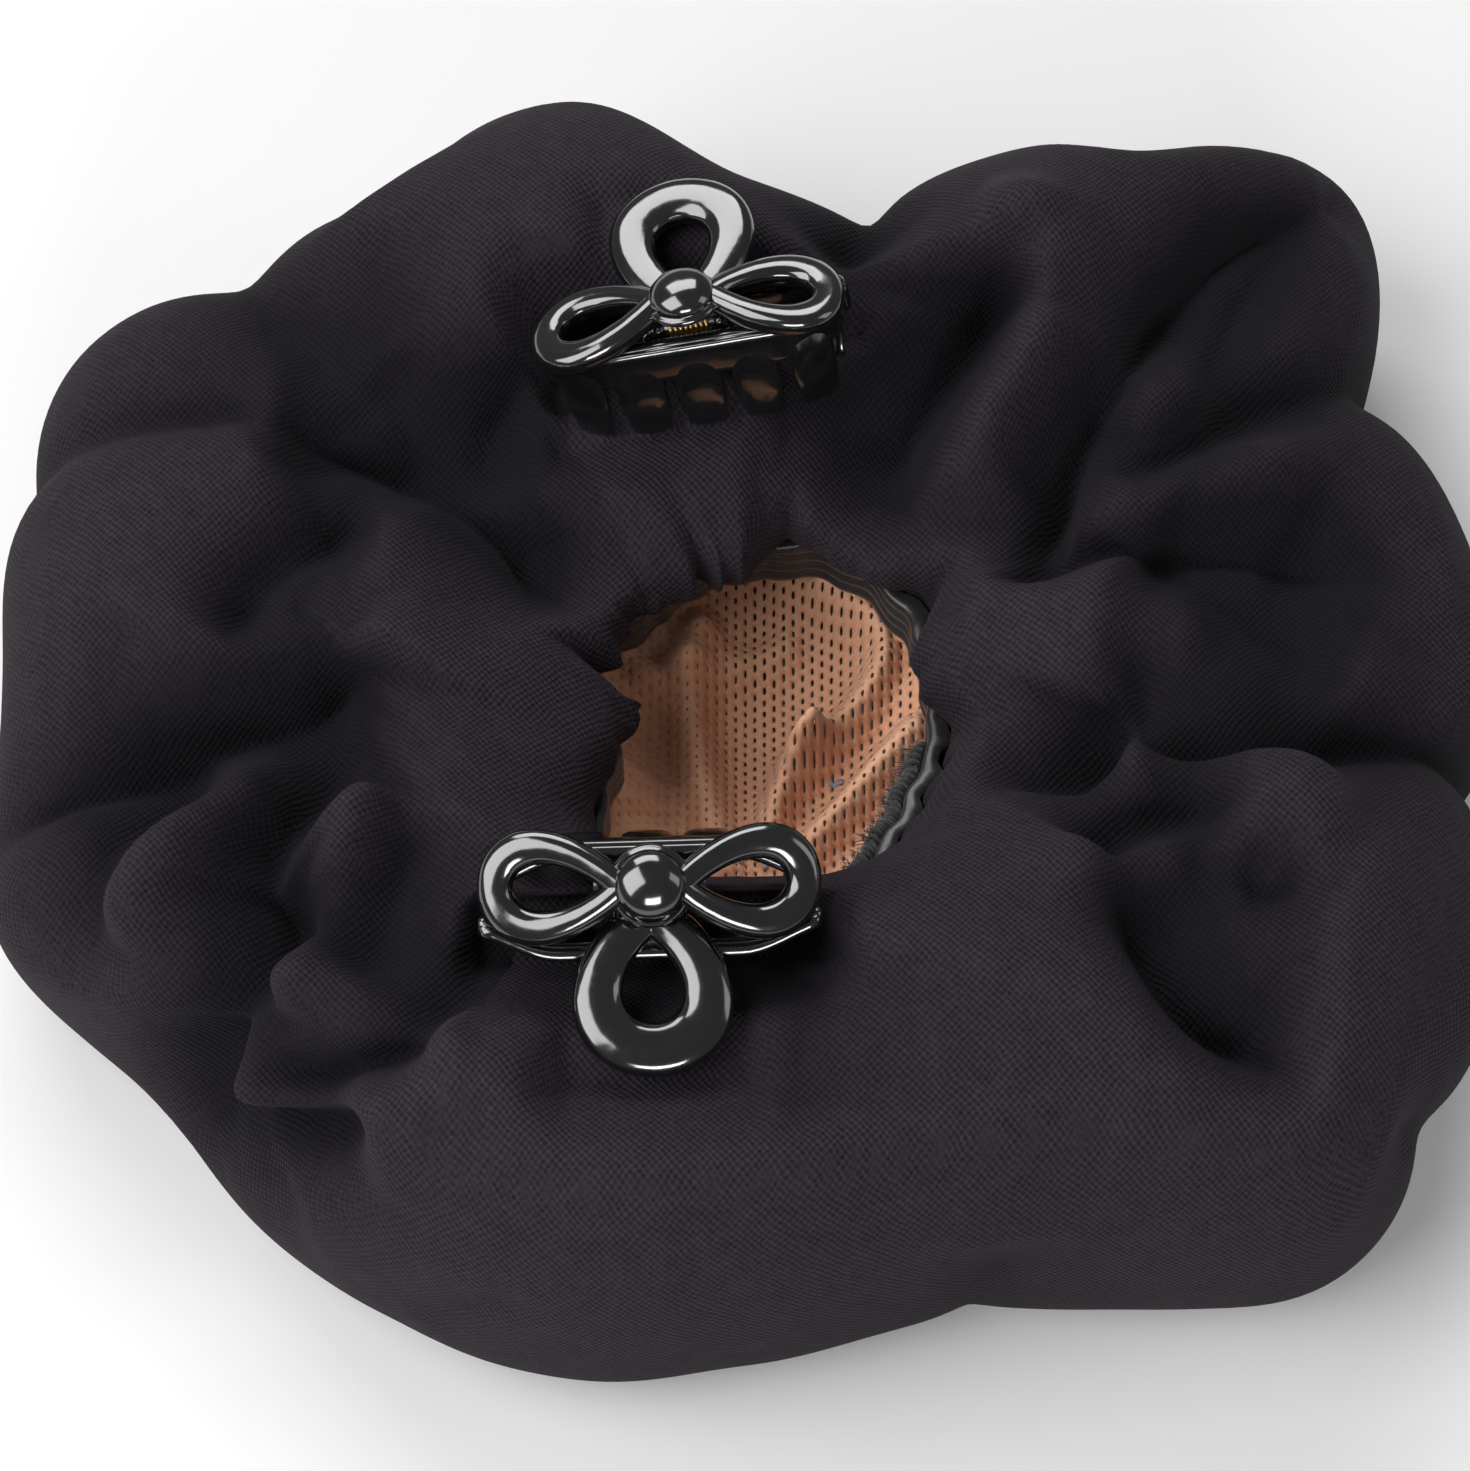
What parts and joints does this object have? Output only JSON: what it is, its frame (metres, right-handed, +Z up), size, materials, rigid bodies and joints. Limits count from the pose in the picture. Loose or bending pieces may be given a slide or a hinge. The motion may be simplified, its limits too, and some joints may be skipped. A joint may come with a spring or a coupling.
{
  "type": "hair bun holder with claw clips",
  "caption": "Ruffled cloth ring gathered on an elastic round a net pouch, with bow-shaped claw clips on its inner edge that grip hair to hold a bun.",
  "frame": {"origin": "middle of the holder on the floor it lies on", "axes": "+X right, +Y away from the front, +Z up out of the ring's open top"},
  "size_m": [0.1394, 0.1267, 0.0456],
  "materials": {
    "black_cloth": "soft matt woven",
    "black_elastic": "ribbed, slight sheen",
    "seam_thread": "fuzzy overlocked thread",
    "nude_net": "fine open net",
    "clip_plastic": "polished",
    "pin_steel": "plain wire",
    "spring_brass": "plain wire"
  },
  "bodies": {
    "holder": {"ruffle": "black_cloth", "elastic_band": "black_elastic", "overlock_seam": "seam_thread", "mesh_pouch": "nude_net", "front_ring_jaw": "clip_plastic", "rear_ring_jaw": "clip_plastic", "front_hinge_pin": "pin_steel", "rear_hinge_pin": "pin_steel", "front_spring": "spring_brass", "rear_spring": "spring_brass"},
    "front_bow": {"front_bow_jaw": "clip_plastic"},
    "rear_bow": {"rear_bow_jaw": "clip_plastic"}
  },
  "joints": [
    {"name": "front_clip_squeeze", "type": "hinge", "parent": "holder", "child": "front_bow", "pos_m": [-0.00826, -0.03134, 0.04048], "axis": [0.9987, 0.0457, -0.0223], "range_deg": [0, 16], "stiffness_Nm_per_rad": 0.01, "springref_deg": -28.65},
    {"name": "rear_clip_squeeze", "type": "hinge", "parent": "holder", "child": "rear_bow", "pos_m": [-0.00524, 0.02623, 0.04004], "axis": [-0.9823, -0.082, -0.1683], "range_deg": [0, 16], "stiffness_Nm_per_rad": 0.01, "springref_deg": -28.65}
  ]
}
